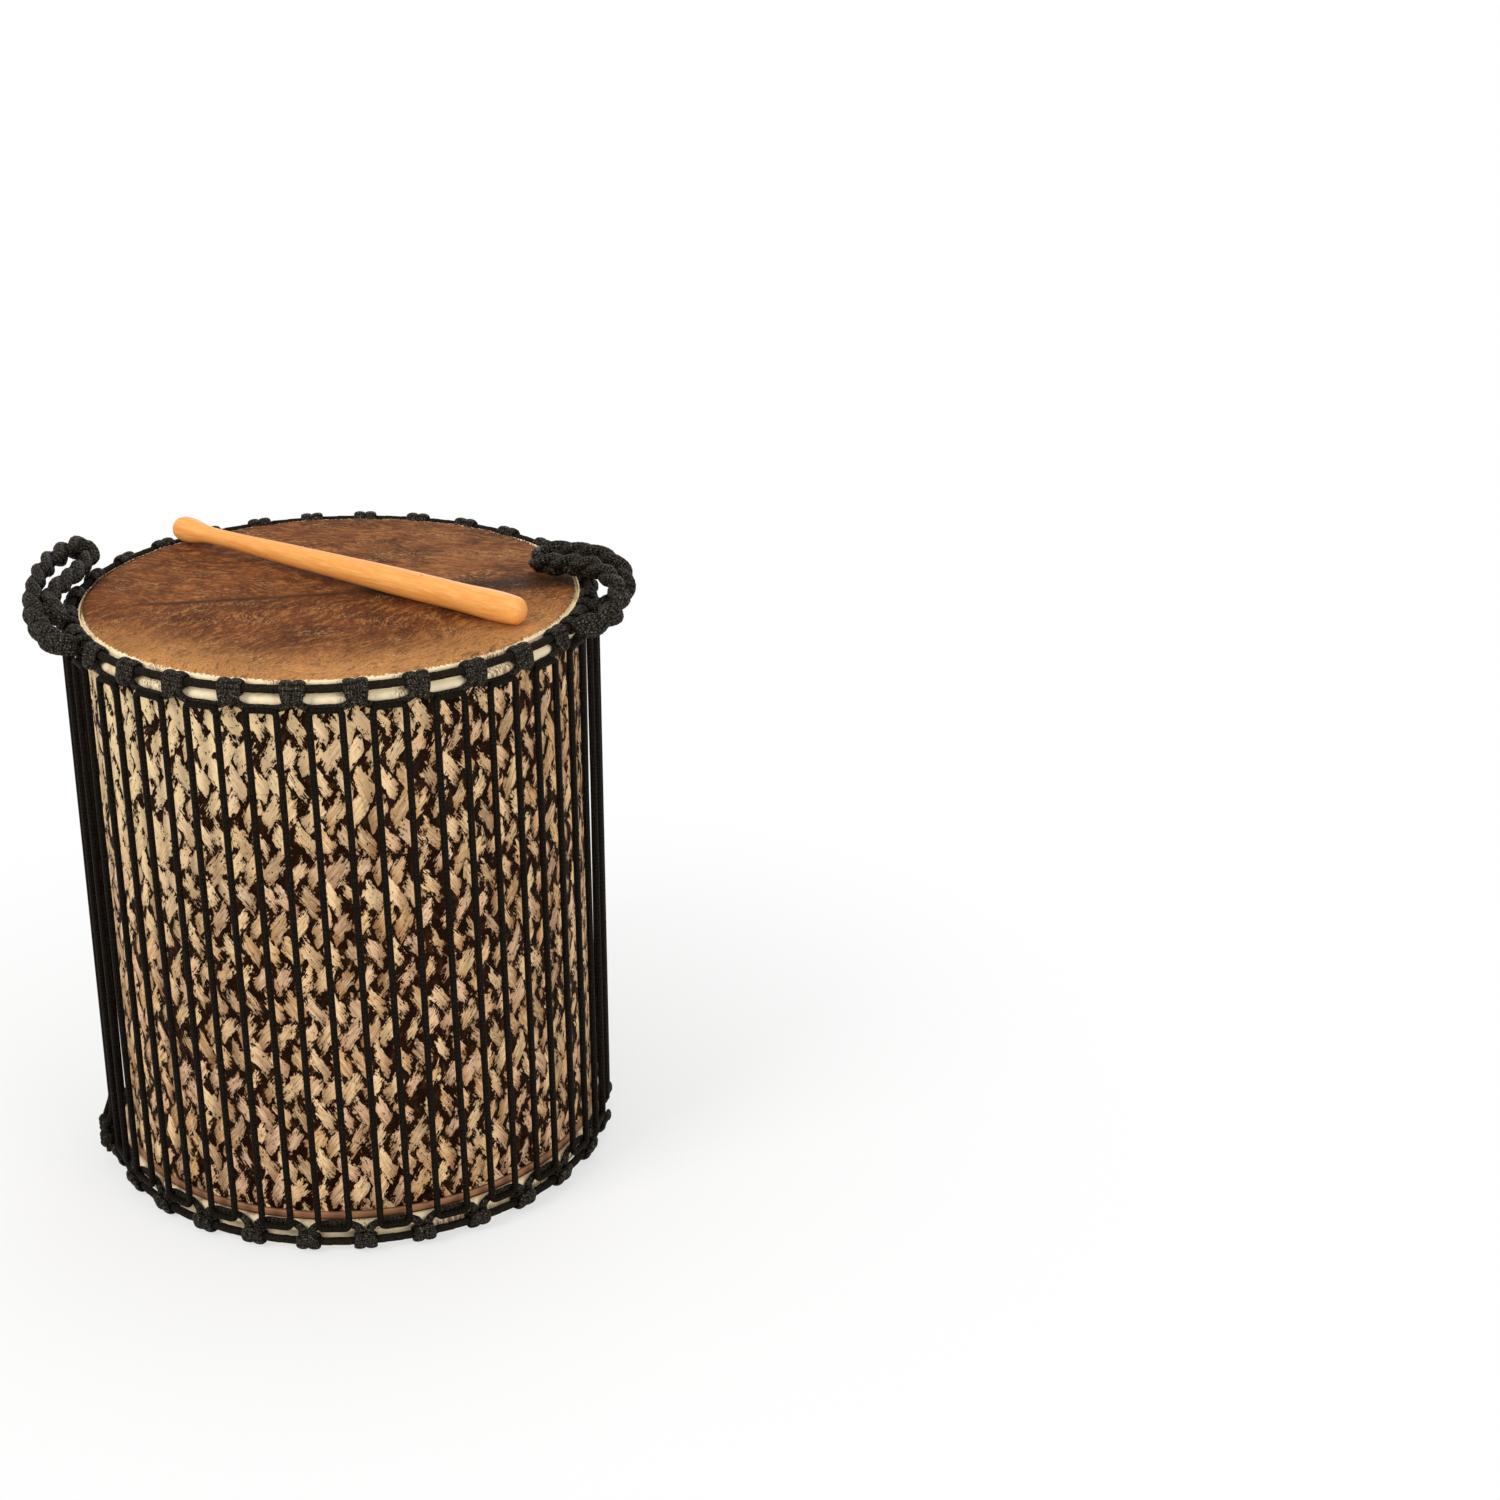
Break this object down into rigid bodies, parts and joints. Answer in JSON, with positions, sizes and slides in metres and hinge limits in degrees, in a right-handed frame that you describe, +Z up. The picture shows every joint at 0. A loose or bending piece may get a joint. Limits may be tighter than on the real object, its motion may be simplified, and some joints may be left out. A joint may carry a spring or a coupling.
{
  "type": "dunun drum",
  "caption": "Upright two-headed rope-tuned cylinder drum with a plaited leaf sleeve, hide heads on hoops, zigzag lacing, rope handles and a wooden beater.",
  "frame": {"origin": "on the drum's axis, in the plane of the lower head that it stands on", "axes": "+Z up along the drum's axis; -Y is the side that faces the viewer; one handle is towards -X and one towards +X"},
  "size_m": [0.4287, 0.3872, 0.4593],
  "materials": {
    "shell_wood": "bare turned wood",
    "leaf_plait": "plaited dried leaf with black dyed gaps, satin",
    "cane": "flat split cane, satin",
    "hide": "short brown hair on cream rawhide",
    "hoop_steel": "bare rod",
    "ring_cloth": "black cloth strip wound on a steel rod",
    "rope": "black braided cord with a slight sheen",
    "stick_wood": "orange varnish, satin"
  },
  "bodies": {
    "drum": {"shell": "shell_wood", "woven_sleeve": "leaf_plait", "base_hoop": "cane", "top_skin": "hide", "top_flesh_ring": "hoop_steel", "top_crown_ring": "ring_cloth", "top_cradle_rope": "rope", "bottom_skin": "hide", "bottom_flesh_ring": "hoop_steel", "bottom_crown_ring": "ring_cloth", "bottom_cradle_rope": "rope", "lacing_rope": "rope", "lacing_knot_start": "rope", "lacing_knot_end": "rope"},
    "handle_left": {"handle_left": "rope", "handle_left_eye_front": "rope", "handle_left_eye_rear": "rope"},
    "handle_right": {"handle_right": "rope", "handle_right_eye_front": "rope", "handle_right_eye_rear": "rope"},
    "stick": {"stick": "stick_wood"}
  },
  "joints": [
    {"name": "handle_left_swing", "type": "hinge", "parent": "drum", "child": "handle_left", "pos_m": [-0.16437, -0.07916, 0.4301], "axis": [0.4339, -0.901, 0], "range_deg": [0, 28]},
    {"name": "handle_right_swing", "type": "hinge", "parent": "drum", "child": "handle_right", "pos_m": [0.17786, -0.0406, 0.4301], "axis": [0.2225, 0.9749, 0], "range_deg": [0, 28]},
    {"name": "stick_lift", "type": "slide", "parent": "drum", "child": "stick", "axis": [0, 0, 1], "range_m": [0, 0.3]}
  ]
}
